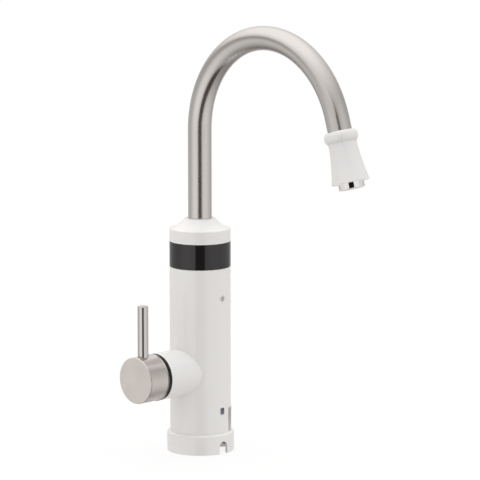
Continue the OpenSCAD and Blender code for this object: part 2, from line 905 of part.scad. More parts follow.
module flow_spring() {
  color("silver")
  sweep([
    for (i = [0:spring_turns * 12])
      let (t = i / (spring_turns * 12), a = 360 * spring_turns * t,
        x0 = cover_x0 + plunger_head_t + spring_wire_r + 0.05,
        x1 = cover_x0 + spring_room - spring_wire_r - 0.05)
      [x0 + (x1 - x0) * t, (spring_r - 0.2) * cos(a), lever_z + (spring_r - 0.2) * sin(a)]
  ], spring_wire_r, 6);
}

module microswitch() {
  color("#202020")
  difference() {
    translate([switch_x0, -switch_w / 2, lever_z - switch_h / 2])
      cube([switch_x1 - switch_x0, switch_w, switch_h]);
    translate([switch_x0 - cut, -button_w / 2 - run_fit, lever_z - button_w / 2 - run_fit])
      cube([4 + cut, button_w + 2 * run_fit, button_w + 2 * run_fit]);
  }
}

module switch_button() {
  color("firebrick")
  translate([switch_x0 - button_out, -button_w / 2, lever_z - button_w / 2])
    cube([button_out + button_in, button_w, button_w]);
}

// Handle

module gap_ring() {
  color("#2a2a2c")
  difference() {
    union() {
      outward(boss_reach, gap_x, ring_r);
      outward(boss_reach - 2.4, boss_reach + overlap, boss_bore - slip_fit);
    }
    outward(boss_reach - 2.4 - cut, boss_reach + 1, boss_bore - 2);
    outward(boss_reach, gap_x + cut, spindle_r + 3);
  }
}

module handle_cap() {
  groove_end = cap_len - cap_rim_w;
  color("silver")
  difference() {
    union() {
      difference() {
        translate([-cap_x0, 0, lever_z]) rotate([0, -90, 0]) revolve(concat(
          [[0, 0], [cap_lip_r - 0.3, 0], [cap_lip_r, 0.3],
           [cap_lip_r, cap_lip_w - cap_lip_h], [cap_r, cap_lip_w],
           [cap_r, groove_end - cap_groove_w], [cap_r - cap_groove, groove_end - cap_groove_w / 2],
           [cap_r, groove_end]],
          ellipse_arc(cap_r - cap_round, cap_len - cap_round, cap_round, cap_round, 0, 90, 4),
          [[0, cap_len]]
        ));
        outward(cap_x0 - cut, cap_x1 - cap_face_t, cap_r - cap_wall);
      }
      outward(hub_x0, cap_x1 - overlap, hub_r);
      translate([-rod_x, 0, lever_z]) cylinder(r = pillar_r, h = cap_r - cap_wall + overlap);
    }
    translate([-rod_x, 0, seat_z]) cylinder(r = rod_r + run_fit, h = cap_r);
    translate([-rod_x, 0, stub_z - 0.5]) cylinder(r = stub_r + run_fit, h = cap_r);
    translate([-square_depth, -square_w / 2 - run_fit, lever_z - square_w / 2 - run_fit])
      cube([square_depth, square_w + 2 * run_fit, square_w + 2 * run_fit]);
    translate([-grub_x, 0, lever_z - cap_r - cut]) cylinder(r = grub_r + run_fit, h = cap_r);
  }
}

module grub_screw() {
  color("dimgray")
  translate([-grub_x, 0, lever_z - hub_r]) difference() {
    cylinder(r = grub_r, h = hub_r - square_w / 2 - run_fit);
    translate([0, 0, -cut]) cylinder(r = 1.25, h = 2 + cut, $fn = 6);
  }
}

module lever_rod() {
  color("silver")
  union() {
    translate([-rod_x, 0, 0]) revolve(concat(
      [[0, seat_z]],
      [[rod_r, seat_z]],
      ellipse_arc(rod_r - 0.6, lever_z + cap_r + rod_h - 0.6, 0.6, 0.6, 0, 90, 4),
      [[0, lever_z + cap_r + rod_h]]
    ));
    translate([-rod_x, 0, stub_z]) cylinder(r = stub_r, h = seat_z - stub_z + overlap);
  }
}

// Heater

module feed_pipes() {
  color("silver")
  for (side = [-1, 1])
    translate([-side * feed_x, side * feed_y, 0])
      pipe(valve_z1 - socket_depth, lid_z0 + lid_t / 2, feed_r, port_r);
}

module tank_lid() {
  color("lightgray")
  difference() {
    translate([0, 0, lid_z0]) cylinder(r = flange_r, h = lid_t);
    for (side = [-1, 1]) translate([-side * feed_x, side * feed_y, lid_z0 - cut]) {
      cylinder(r = port_r, h = lid_t + 2 * cut);
      cylinder(r = feed_r + slip_fit, h = lid_t / 2 + cut);
    }
    for (p = [[0, 0], [leg_x, leg_y]])
      translate([p[0], p[1], lid_z0 - cut]) cylinder(r = element_r + slip_fit, h = lid_t + 2 * cut);
    translate([0, 0, lid_z1]) difference() {
      translate([0, 0, -1.6]) cylinder(r = seal_place + 0.95, h = 1.6 + cut);
      translate([0, 0, -1.6 - cut]) cylinder(r = seal_place - 0.95, h = 1.6 + 3 * cut);
    }
    at_tank_screws() translate([0, 0, lid_z0 - cut]) cylinder(r = pilot_r + run_fit, h = lid_t + 2 * cut);
  }
}

module at_tank_screws() {
  for (k = [0:tank_screws_n - 1])
    rotate([0, 0, 360 * k / tank_screws_n]) translate([tank_screw_place, 0, 0]) children();
}

module tank_o_ring() {
  color("firebrick")
  translate([0, 0, lid_z1 - 0.8]) o_ring(seal_place, seal_r);
}

module tank_shell() {
  color("gainsboro")
  difference() {
    union() {
      translate([0, 0, lid_z1]) cylinder(r = tank_r, h = tank_h);
      translate([0, 0, lid_z1]) cylinder(r = flange_r, h = flange_t);
    }
    translate([0, 0, lid_z1 - cut]) cylinder(r = tank_r - tank_wall, h = tank_h - tank_wall + cut);
    translate([0, 0, tank_top - 2 * tank_wall]) cylinder(r = outlet_bore, h = 3 * tank_wall);
    translate([-probe_x, 0, tank_top - 2 * tank_wall]) cylinder(r = probe_r + run_fit, h = 3 * tank_wall);
    at_tank_screws() translate([0, 0, lid_z1 - cut])
      cylinder(r = screw_r + slip_fit, h = flange_t + 2 * cut);
  }
}

module tank_screws() {
  color("silver")
  at_tank_screws() {
    translate([0, 0, lid_z1 + flange_t]) cylinder(r = screw_head_r, h = screw_head_h);
    translate([0, 0, lid_z0]) cylinder(r = pilot_r, h = lid_t + flange_t + overlap);
  }
}

// The element's path: up one leg, round the coil, over its top and down the middle
function element_path() =
  let (
    leg_foot = lid_z0 - bushing_h,
    steps = round(coil_turns * 20),
    first = [leg_x, leg_y, lid_z1 + 1],
    // The coil's start lies a sixth of a turn on from the leg
    a0 = leg_angle + 60,
    coil = [
      for (i = [0:steps])
        let (a = a0 + 360 * coil_turns * i / steps)
        [coil_r * cos(a), coil_r * sin(a), coil_z0 + coil_pitch * coil_turns * i / steps]
    ],
    start_way = [-sin(a0), cos(a0), coil_pitch / (2 * PI * coil_r)],
    a1 = a0 + 360 * coil_turns,
    end_way = [-sin(a1), cos(a1), coil_pitch / (2 * PI * coil_r)],
    last = [0, 0, coil_z1 - loop_drop],
    over = last + [0, 0, loop_rise]
  )
  concat(
    [[leg_x, leg_y, leg_foot], [leg_x, leg_y, (leg_foot + lid_z1) / 2]],
    [for (i = [0:7]) bezier(first, first + [0, 0, 5], coil[0] - 6 * start_way, coil[0], i / 8)],
    coil,
    [for (i = [1:12]) bezier(coil[steps], coil[steps] + 8 * end_way, over, last, i / 12)],
    [[0, 0, (last[2] + lid_z1) / 2], [0, 0, leg_foot]]
  );

module heating_element() {
  color("slategray")
  sweep(element_path(), element_r, 10);
}

module at_legs() {
  for (p = [[0, 0], [leg_x, leg_y]]) translate([p[0], p[1], 0]) children();
}

module element_bushings() {
  color("ivory")
  at_legs() pipe(lid_z0 - bushing_h, lid_z0, bushing_r, element_r + slip_fit);
}

module element_terminals() {
  color("goldenrod")
  at_legs() {
    translate([0, 0, lid_z0 - bushing_h - 1.2]) cylinder(r = 2.6, h = 1.2);
    translate([-0.4, -2, lid_z0 - bushing_h - terminal_h]) cube([0.8, 4, terminal_h - 1.2 + 0.2]);
  }
}

module thermal_cutout() {
  color("#4a3a2a")
  translate([cutout_x, 0, tank_top]) {
    cylinder(r = cutout_r, h = cutout_h);
    for (side = [-1, 1])
      translate([-0.4 , side * 4 - 1.6, cutout_h - overlap]) cube([0.8, 3.2, 3.4 + overlap]);
  }
}

module temperature_probe() {
  color("darkgoldenrod")
  translate([-probe_x, 0, tank_top]) {
    cylinder(r = probe_head_r, h = 3, $fn = 6);
    translate([0, 0, -probe_len]) cylinder(r = probe_r, h = probe_len + overlap);
    translate([0, 0, 3 - overlap]) cylinder(r = 1.5, h = 3 + overlap);
  }
}

module outlet_pipe() {
  color("silver")
  pipe(tank_top, ledge_z - socket_tail_h + outlet_in, outlet_r, outlet_bore);
}

// Spout joint

module spout_socket() {
  color("goldenrod")
  difference() {
    union() {
      translate([0, 0, ledge_z]) cylinder(r = inner_r - 0.3, h = socket_flange_t);
      translate([0, 0, ledge_z]) cylinder(r = socket_r, h = tube_z0 - ledge_z);
      translate([0, 0, ledge_z - socket_tail_h]) cylinder(r = outlet_r + 2.5, h = socket_tail_h + overlap);
    }
    translate([0, 0, socket_floor]) cylinder(r = socket_bore, h = window_h + cut);
    translate([0, 0, bush_flange_z]) cylinder(r = counterbore_r, h = window_h);
    translate([0, 0, ledge_z - socket_tail_h - cut]) cylinder(r = outlet_bore, h = window_h);
    translate([0, 0, ledge_z - socket_tail_h - cut]) cylinder(r = outlet_r + slip_fit, h = outlet_in + cut);
  }
}

module swivel_nut() {
  color("darkgoldenrod")
  difference() {
    translate([0, 0, swivel_top - nut_skirt]) cylinder(r = swivel_nut_r, h = nut_skirt + nut_lip_t);
    translate([0, 0, swivel_top - nut_skirt - cut]) cylinder(r = socket_r + run_fit, h = nut_skirt + cut);
    translate([0, 0, swivel_top - cut]) cylinder(r = socket_bore, h = nut_lip_t + 2 * cut);
  }
}

module swivel_washer() {
  color("white")
  pipe(tube_z0, swivel_top, bush_flange_r, tube_r + 0.25);
}

module spout_bush() {
  color("goldenrod")
  difference() {
    union() {
      translate([0, 0, bush_z0]) cylinder(r = tube_r, h = tube_z0 - bush_z0);
      translate([0, 0, bush_flange_z]) cylinder(r = bush_flange_r, h = bush_flange_t);
      translate([0, 0, tube_z0 - overlap]) cylinder(r = sleeve_r, h = sleeve_h + overlap);
    }
    translate([0, 0, bush_z0 - cut]) cylinder(r = adapter_bore, h = window_h + sleeve_h);
    for (z = o_ring_z) translate([0, 0, z - o_ring_r - 0.1]) difference() {
      cylinder(r = tube_r + cut, h = 2 * o_ring_r + 0.2);
      translate([0, 0, -cut]) cylinder(r = tube_r - 2 * o_ring_r - 0.1, h = 2 * o_ring_r + 2 * cut);
    }
  }
}

module spout_o_rings() {
  color("#2b2b2b")
  for (z = o_ring_z) translate([0, 0, z]) o_ring(tube_r - o_ring_r, o_ring_r);
}

module spout_tube() {
  color("silver")
  difference() {
    tube_form(tube_r, 0);
    tube_form(tube_r - tube_wall, cut);
  }
}

// The tube's form at radius r, longer by extra at both ends. Its last stretch is sized a hair wider.
module tube_form(r, extra) {
  translate([0, 0, tube_z0 - extra]) cylinder(r = r, h = arc_z - tube_z0 + extra);
  translate([0, -bend_r, arc_z]) rotate([90, 0, 90])
    rotate_extrude(angle = bend_angle) translate([bend_r, 0]) circle(r = r);
  at_nozzle() translate([0, 0, -end_len - swell_len])
    cylinder(r = r + end_swell, h = swell_len + end_len + tube_in + extra);
}

// Nozzle

module nozzle_bell() {
  color("white")
  at_nozzle() revolve(concat(
    [[bell_bore, bell_entry], [bell_bore + bell_entry, 0]],
    ellipse_arc(collar_r - collar_swell, collar_len / 2, collar_swell, collar_len / 2, -80, collar_turn, 10),
    arc_between(collar_foot, neck_top, norm(neck_top - collar_foot), 6),
    arc_between(neck_top + [0, 0.2], [mouth_r, bell_len - mouth_edge], bell_curve_r, curve_steps),
    [[mouth_r - mouth_edge, bell_len], [mouth_r - mouth_wall, bell_len]],
    arc_back([mouth_r - mouth_wall, bell_len - 0.3], [bell_bore, tube_in + 1])
  ));
}

// The bell's inside, from its mouth back to its bore
function arc_back(p, q) =
  let (way = arc_between(q, p, bell_curve_r, curve_steps))
  [for (i = [curve_steps:-1:0]) way[i]];

module nozzle_adapter() {
  color("goldenrod")
  at_nozzle() difference() {
    union() {
      translate([0, 0, tube_in - sleeve_h]) cylinder(r = sleeve_r, h = sleeve_h + overlap);
      translate([0, 0, tube_in]) cylinder(r = tube_r - 0.05, h = adapter_end - tube_in);
      translate([0, 0, adapter_end - overlap]) cylinder(r = adapter_thread_r, h = adapter_thread + overlap);
    }
    translate([0, 0, tube_in - sleeve_h - cut]) cylinder(r = adapter_bore, h = adapter_end + adapter_thread);
  }
}

module aerator_washer() {
  color("#2b2b2b")
  at_nozzle() pipe(adapter_tip, insert_z, insert_r, adapter_bore);
}

module aerator_insert() {
  color("lightgray")
  at_nozzle() translate([0, 0, insert_z]) difference() {
    cylinder(r = insert_r, h = insert_t);
    translate([0, 0, -cut]) cylinder(r = insert_r - 1.5, h = cut + 2);
    for (i = [-4:4], j = [-4:4])
      let (x = mesh_pitch * (i + j / 2), y = mesh_pitch * j * cos(30))
      if (norm([x, y]) < insert_r - 2.5)
        translate([x, y, -cut]) cylinder(r = mesh_r, h = insert_t + 2 * cut, $fn = 16);
  }
}

module aerator_housing() {
  color("gainsboro")
  at_nozzle() intersection() {
    aerator_ring();
    translate([0, 0, aerator_start - cut]) linear_extrude(aerator_end - aerator_start + 2 * cut)
      polygon([
        for (k = [0:aerator_flats - 1])
          let (a = 360 * (k + 0.5) / aerator_flats)
          [aerator_r * cos(a), aerator_r * sin(a)]
      ]);
  }
}

module aerator_ring() {
  revolve([
    [aerator_r - aerator_wall, aerator_start],
    [aerator_r - 0.3, aerator_start], [aerator_r, aerator_start + 0.3],
    [aerator_r, aerator_end - 0.8], [aerator_r - 0.25, aerator_end - 0.2], [aerator_r - 0.8, aerator_end],
    [aerator_r - 2, aerator_end], [aerator_r - 2.4, aerator_end - 0.4],
    [aerator_r - 2.4, insert_z + insert_t],
    [aerator_r - aerator_wall, insert_z + insert_t]
  ]);
}

// Electrics

module control_board() {
  color("darkgreen")
  translate([-board_w / 2, board_y, board_z0]) cube([board_w, board_t, board_h]);
}

module relay() {
  color("#1d3a6b")
  translate([-relay_w / 2, board_y - relay_d, board_z0 + board_h - relay_h - 1])
    cube([relay_w, relay_d, relay_h]);
}

module terminal_block() {
  color("seagreen")
  translate([-block_w / 2, board_y - block_d, board_z0 + 2]) difference() {
    cube([block_w, block_d, block_h]);
    for (k = [0:2]) translate([block_w * (k + 0.5) / 3, -cut, block_h / 2]) rotate([-90, 0, 0])
      cylinder(r = 1.9, h = block_d - 2 + cut);
  }
}

module display_board() {
  color("darkgreen")
  translate([-display_w / 2, display_y, display_z0]) cube([display_w, board_t, display_h]);
}

module display_module() {
  color("#101010")
  translate([-digits_w / 2, display_y + board_t, display_z0 + (display_h - digits_h) / 2])
    cube([digits_w, digits_d, digits_h]);
}

base_ring();
base_screws();
cable_gland();
inlet_union();
inlet_strainer();
inlet_nut();
inlet_pipe();
main_case();
case_fixing_block();
service_screw();
valve_body();
earth_screw();
port_seal();
fixed_ceramic_disc();
cartridge_housing();
cartridge_nut();
gap_ring();
flow_diaphragm();
flow_switch_cover();
cover_screws();
flow_spring();
microswitch();
feed_pipes();
tank_lid();
tank_o_ring();
tank_shell();
tank_screws();
heating_element();
element_bushings();
element_terminals();
thermal_cutout();
temperature_probe();
outlet_pipe();
spout_socket();
swivel_nut();
swivel_washer();
window_ring();
display_board();
display_module();
top_cap();
control_board();
relay();
terminal_block();
moving_ceramic_disc();
cartridge_spindle();
spindle_o_ring();
handle_cap();
grub_screw();
lever_rod();
flow_plunger();
switch_button();
spout_tube();
spout_bush();
spout_o_rings();
nozzle_adapter();
nozzle_bell();
aerator_washer();
aerator_insert();
aerator_housing();
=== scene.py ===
"""Looks of the instant water heater tap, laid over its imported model. Metres, in the model's own frame."""

import math

import bmesh
import bpy
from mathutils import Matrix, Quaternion, Vector


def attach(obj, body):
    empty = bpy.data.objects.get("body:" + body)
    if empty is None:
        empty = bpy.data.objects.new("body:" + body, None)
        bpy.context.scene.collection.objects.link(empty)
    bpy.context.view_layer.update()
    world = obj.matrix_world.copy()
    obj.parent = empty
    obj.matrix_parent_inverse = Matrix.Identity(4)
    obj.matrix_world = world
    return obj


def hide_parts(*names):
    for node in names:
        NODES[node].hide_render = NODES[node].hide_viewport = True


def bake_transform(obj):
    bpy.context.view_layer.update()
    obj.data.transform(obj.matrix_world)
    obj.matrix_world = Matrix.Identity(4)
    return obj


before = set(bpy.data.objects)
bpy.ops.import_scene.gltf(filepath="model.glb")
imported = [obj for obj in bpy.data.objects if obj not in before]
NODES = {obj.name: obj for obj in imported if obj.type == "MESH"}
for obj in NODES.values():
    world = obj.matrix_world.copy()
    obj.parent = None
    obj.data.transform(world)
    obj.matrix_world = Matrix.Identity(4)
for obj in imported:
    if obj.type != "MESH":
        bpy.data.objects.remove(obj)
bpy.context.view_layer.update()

# Sizes shared with the model: the case, the lever's cap and the spout's bend
BODY_R = 0.030
CAP_FACE_X = -0.0860
CAP_LIP_X = -0.0625
ARC_Z = 0.3167
BEND_R = 0.0958
# The middle of the bell's mouth, the way that the nozzle points, and the aerator's bore with some play
MOUTH = (0.0, -0.2057, 0.2864)
NOZZLE_WAY = (0.0, -0.299, -0.954)
BORE_R = 0.0112

# The camera's azimuth and distance from the column's axis, and what it aims at
CAMERA_AZ = math.radians(-43)
CAMERA_DISTANCE = 3.4
CAMERA_Z = 0.76982
AIM_Z = 0.20782
AIM_SIDE = 0.03890
CAMERA_ROLL = math.radians(-0.0559)
CAMERA_REACH = 100
# The lens and the width of its picture, in millimetres
LENS = 265.30
SENSOR = 36


# Short ways to build node trees

def wire(tree, value, socket):
    """Links a socket, or sets a plain value."""
    if isinstance(value, bpy.types.NodeSocket):
        tree.links.new(value, socket)
    else:
        socket.default_value = value


def calc(tree, operation, *values, clamp=False):
    """One step of arithmetic on numbers."""
    node = tree.nodes.new("ShaderNodeMath")
    node.operation = operation
    node.use_clamp = clamp
    for value, socket in zip(values, node.inputs):
        wire(tree, value, socket)
    return node.outputs[0]


def vector_calc(tree, operation, *values):
    """One step of arithmetic on vectors."""
    node = tree.nodes.new("ShaderNodeVectorMath")
    node.operation = operation
    for value, socket in zip(values, node.inputs):
        wire(tree, value, socket)
    return node.outputs["Value" if operation in ("DOT_PRODUCT", "LENGTH") else "Vector"]


def join(tree, x, y, z):
    node = tree.nodes.new("ShaderNodeCombineXYZ")
    for value, socket in zip((x, y, z), node.inputs):
        wire(tree, value, socket)
    return node.outputs[0]


def split(tree, vector):
    node = tree.nodes.new("ShaderNodeSeparateXYZ")
    wire(tree, vector, node.inputs[0])
    return node.outputs[0], node.outputs[1], node.outputs[2]


def place(tree):
    """The point on the object, in the model's frame at rest."""
    return tree.nodes.new("ShaderNodeTexCoord").outputs["Object"]


def noise(tree, vector, scale, detail=2.0, rough=0.5):
    node = tree.nodes.new("ShaderNodeTexNoise")
    wire(tree, vector, node.inputs["Vector"])
    node.inputs["Scale"].default_value = scale
    node.inputs["Detail"].default_value = detail
    node.inputs["Roughness"].default_value = rough
    return node.outputs["Fac"]


def ramp(tree, factor, stops):
    """A colour for each factor. Stops are pairs of place and colour, or of place and grey level."""
    node = tree.nodes.new("ShaderNodeValToRGB")
    node.color_ramp.interpolation = "LINEAR"
    elements = node.color_ramp.elements
    while len(elements) > 1:
        elements.remove(elements[-1])
    for i, (where, colour) in enumerate(stops):
        element = elements[0] if i == 0 else elements.new(where)
        element.position = where
        level = (colour, colour, colour) if isinstance(colour, (int, float)) else colour
        element.color = (*level, 1)
    wire(tree, factor, node.inputs[0])
    return node.outputs["Color"]


def between(tree, factor, a, b):
    """A number that runs from a to b with the factor."""
    node = tree.nodes.new("ShaderNodeMapRange")
    wire(tree, factor, node.inputs["Value"])
    node.inputs["To Min"].default_value = a
    node.inputs["To Max"].default_value = b
    return node.outputs["Result"]


def mix(tree, factor, a, b):
    """A colour between two colours."""
    node = tree.nodes.new("ShaderNodeMix")
    node.data_type = "RGBA"
    wire(tree, factor, node.inputs[0])
    for value, socket in ((a, node.inputs[6]), (b, node.inputs[7])):
        wire(tree, value if isinstance(value, bpy.types.NodeSocket) else (*value, 1), socket)
    return node.outputs[2]


def bump(tree, height, depth):
    """Fine relief as deep as the depth says."""
    node = tree.nodes.new("ShaderNodeBump")
    node.inputs["Strength"].default_value = 1
    node.inputs["Distance"].default_value = depth
    wire(tree, height, node.inputs["Height"])
    return node.outputs[0]


def scaled(colour, k):
    return tuple(min(1, c * k) for c in colour)


# Materials

# How often the slow drifts of tone and of gloss come, in waves per metre, in plastic and in cast metal
PLASTIC_TONE = 22
PLASTIC_GLOSS = 90
METAL_TONE = 60
METAL_GLOSS = 150
# The same for the grooves and the broader streaks of brushed metal, along them and across them
GROOVES_ALONG = 35
GROOVES_ACROSS = 4200
STREAKS_ALONG = 12
STREAKS_ACROSS = 420


def new_material(name, **settings):
    """A material with one principled shader. Settings are its sockets' plain values."""
    material = bpy.data.materials.new(name)
    material.use_nodes = True
    tree = material.node_tree
    shader = tree.nodes["Principled BSDF"]
    for key, value in settings.items():
        shader.inputs[key.replace("_", " ")].default_value = value
    return material, tree, shader


def vary(tree, shader, colour, drift, rough, depth, tone, gloss, relief):
    """Lets a shader's colour, roughness and relief vary with three patterns."""
    drifting = mix(tree, tone, scaled(colour, 1 - drift), scaled(colour, 1 + drift))
    wire(tree, drifting, shader.inputs["Base Color"])
    wire(tree, between(tree, gloss, *rough), shader.inputs["Roughness"])
    wire(tree, bump(tree, relief, depth), shader.inputs["Normal"])


def moulded(name, colour, rough=(0.10, 0.16), grain=650, depth=8e-6, drift=0.012, **settings):
    """Moulded plastic: a slow drift of its colour and gloss, and the fine waviness of a mould."""
    material, tree, shader = new_material(name, **settings)
    where = place(tree)
    vary(tree, shader, colour, drift, rough, depth, tone=noise(tree, where, PLASTIC_TONE, detail=3),
         gloss=noise(tree, where, PLASTIC_GLOSS, detail=3), relief=noise(tree, where, grain))
    return material


def cast_metal(name, colour, rough=(0.22, 0.38), grain=260, depth=1.2e-5, drift=0.08, **settings):
    """Turned or cast metal without a clear grain: soft blotches and a fine tooth."""
    material, tree, shader = new_material(name, Metallic=1.0, **settings)
    where = place(tree)
    vary(tree, shader, colour, drift, rough, depth,
         tone=noise(tree, where, METAL_TONE, detail=4, rough=0.6),
         gloss=noise(tree, where, METAL_GLOSS, detail=3), relief=noise(tree, where, grain, detail=3))
    return material


def drawn_out(tree, where, along, across, detail, rough=0.5):
    """Noise that is slow along the grooves and fast across them. The place across them comes last."""
    a, b, c = where
    stretched = join(tree, calc(tree, "MULTIPLY", a, along), calc(tree, "MULTIPLY", b, along),
                     calc(tree, "MULTIPLY", c, across))
    return noise(tree, stretched, 1, detail, rough)


def brushed(name, colour, coordinates, way, rough=(0.2, 0.3), anisotropy=0.6, depth=3e-6, drift=0.05):
    """Brushed metal. The coordinates give the place across the grooves last, and the way runs across them."""
    material, tree, shader = new_material(name, Metallic=1.0, Anisotropic=anisotropy)
    where = coordinates(tree)
    grooves = drawn_out(tree, where, GROOVES_ALONG, GROOVES_ACROSS, detail=3, rough=0.65)
    streaks = drawn_out(tree, where, STREAKS_ALONG, STREAKS_ACROSS, detail=2)
    tone = calc(tree, "ADD", calc(tree, "MULTIPLY", grooves, 0.5), calc(tree, "MULTIPLY", streaks, 0.5))
    vary(tree, shader, colour, drift, rough, depth, tone=tone, gloss=tone, relief=grooves)
    turned = tree.nodes.new("ShaderNodeVectorTransform")
    turned.vector_type = "VECTOR"
    turned.convert_from = "OBJECT"
    turned.convert_to = "WORLD"
    wire(tree, way(tree), turned.inputs[0])
    wire(tree, turned.outputs[0], shader.inputs["Tangent"])
    return material


def lighten(material, gain):
    """Multiplies a material's colour by a gain."""
    tree = material.node_tree
    colour = tree.nodes["Principled BSDF"].inputs["Base Color"]
    before = colour.links[0].from_socket
    wire(tree, vector_calc(tree, "MULTIPLY", before, join(tree, gain, gain, gain)), colour)


# The lever cap's flat end: how deep it reaches, its gain, which is painted light, the clouds on it, and its
# added roughness
FACE_DEPTH = 0.0004
FACE_PAINTED_LIGHT = 1.28
FACE_CLOUDS = 0.13
CLOUD_WAVES = 60
FACE_ROUGH = 0.25
# The gain of the cap's inner lip, beside the dark gap ring
LIP_TONE = 0.05


def tone_cap(material):
    """Makes the lever cap's flat end lighter with painted light, and duller, with faint clouds, and its inner
    lip dark.
    """
    tree = material.node_tree
    x, _, _ = split(tree, place(tree))
    # The flat end's lightening is painted light; its clouds and added roughness are its own finish
    flat = calc(tree, "LESS_THAN", x, CAP_FACE_X + FACE_DEPTH)
    clouds = noise(tree, place(tree), CLOUD_WAVES, detail=3)
    cloudy = between(tree, clouds, FACE_PAINTED_LIGHT - FACE_CLOUDS, FACE_PAINTED_LIGHT + FACE_CLOUDS)
    gain = calc(tree, "ADD", calc(tree, "MULTIPLY", flat, calc(tree, "SUBTRACT", cloudy, 1.0)), 1.0)
    lip = calc(tree, "GREATER_THAN", x, CAP_LIP_X)
    lighten(material, calc(tree, "MULTIPLY", gain, calc(tree, "MULTIPLY_ADD", lip, LIP_TONE - 1.0, 1.0)))
    roughness = tree.nodes["Principled BSDF"].inputs["Roughness"]
    duller = calc(tree, "MULTIPLY", flat, FACE_ROUGH)
    wire(tree, calc(tree, "ADD", roughness.links[0].from_socket, duller), roughness)


def paint_shade_down(material, top, gain_top, foot, gain_foot):
    """Paints light and shade on a material: its tone runs from one gain at a height to another below it."""
    tree = material.node_tree
    _, _, z = split(tree, place(tree))
    share = calc(tree, "DIVIDE", calc(tree, "SUBTRACT", z, foot), top - foot, clamp=True)
    lighten(material, between(tree, share, gain_foot, gain_top))


def lined_bore(material, mouth, way):
    """Pale plastic instead of metal inside the aerator, round the way that the nozzle points."""
    tree = material.node_tree
    from_mouth = vector_calc(tree, "SUBTRACT", place(tree), join(tree, *mouth))
    from_axis = vector_calc(tree, "LENGTH", vector_calc(tree, "CROSS_PRODUCT", from_mouth, join(tree, *way)))
    metal = calc(tree, "GREATER_THAN", from_axis, BORE_R)
    wire(tree, metal, tree.nodes["Principled BSDF"].inputs["Metallic"])


# The painted glow inside the bell, an emission that stands in for light from the white floor: its strength
# and colour, how far from the mouth it goes, and how clearly a face has to look at the mouth's middle
BELL_PAINTED_GLOW = 0.3
PAINTED_GLOW_COLOUR = (1.0, 0.98, 0.96)
GLOW_REACH = 0.032
GLOW_FACING = -0.0004


def paint_glow_inside(material, mouth, strength):
    """Painted light: an emission on the inner faces, seen from the middle of the mouth, standing in for light
    from the white floor.
    """
    tree = material.node_tree
    shader = tree.nodes["Principled BSDF"]
    from_mouth = vector_calc(tree, "SUBTRACT", place(tree), join(tree, *mouth))
    normal = tree.nodes.new("ShaderNodeTexCoord").outputs["Normal"]
    inner = calc(tree, "LESS_THAN", vector_calc(tree, "DOT_PRODUCT", normal, from_mouth), GLOW_FACING)
    near = calc(tree, "LESS_THAN", vector_calc(tree, "LENGTH", from_mouth), GLOW_REACH)
    shader.inputs["Emission Color"].default_value = (*PAINTED_GLOW_COLOUR, 1)
    wire(tree, calc(tree, "MULTIPLY", calc(tree, "MULTIPLY", inner, near), strength),
         shader.inputs["Emission Strength"])


def give(material, *names):
    """Puts a material on the model's nodes."""
    for name in names:
        mesh = NODES[name].data
        mesh.materials.clear()
        mesh.materials.append(material)
        for face in mesh.polygons:
            face.material_index = 0


# Each brushed piece's own coordinates, and the way across its grooves, which run round it

def bend_offsets(tree, y, z):
    """How far a point lies out from the middle of the spout's bend, and above the bend's start."""
    out = calc(tree, "ADD", y, BEND_R)
    up = calc(tree, "MAXIMUM", calc(tree, "SUBTRACT", z, ARC_Z), 0)
    return out, up


def tube_coordinates(tree):
    """The spout's own coordinates: to the side, across its bent centre line, and along it."""
    x, y, z = split(tree, place(tree))
    out, up = bend_offsets(tree, y, z)
    turn = calc(tree, "ARCTAN2", up, out)
    along = calc(tree, "ADD", calc(tree, "MINIMUM", z, ARC_Z), calc(tree, "MULTIPLY", turn, BEND_R))
    squares = calc(tree, "ADD", calc(tree, "MULTIPLY", up, up), calc(tree, "MULTIPLY", out, out))
    return x, calc(tree, "SUBTRACT", calc(tree, "SQRT", squares), BEND_R), along


def tube_way(tree):
    """The way of the spout's centre line."""
    _, y, z = split(tree, place(tree))
    out, up = bend_offsets(tree, y, z)
    return vector_calc(tree, "NORMALIZE", join(tree, 0.0, calc(tree, "MULTIPLY", up, -1), out))


def upright_coordinates(tree):
    return split(tree, place(tree))


def upright_way(tree):
    return join(tree, 0.0, 0.0, 1.0)


def lever_coordinates(tree):
    x, y, z = split(tree, place(tree))
    return y, z, x


def lever_way(tree):
    return join(tree, 1.0, 0.0, 0.0)


# The outer pieces

WHITE = (0.798, 0.795, 0.796)
WHITE_ROUGH = (0.08, 0.13)
# The bell's white: the case's white made a little darker, as painted shade
BELL_PAINTED_SHADE = 0.95
STEEL = (0.60, 0.585, 0.575)
ROD_TONE = 0.955
CAP_STEEL = (0.61, 0.582, 0.565)
SCREW_STEEL = (0.68, 0.67, 0.655)
CHROME = (0.95, 0.95, 0.96)
WINDOW_BLACK = (0.009, 0.0080, 0.0098)
TRIM_BLACK = (0.008, 0.008, 0.009)

give(moulded("white_gloss", WHITE, rough=WHITE_ROUGH, IOR=1.5), "base_ring", "main_case", "top_cap")
# The bell: the case's white darkened as painted shade, with a painted glow inside its mouth
bell_white_painted_light = moulded("bell_white_painted_light", scaled(WHITE, BELL_PAINTED_SHADE), rough=WHITE_ROUGH, IOR=1.5)
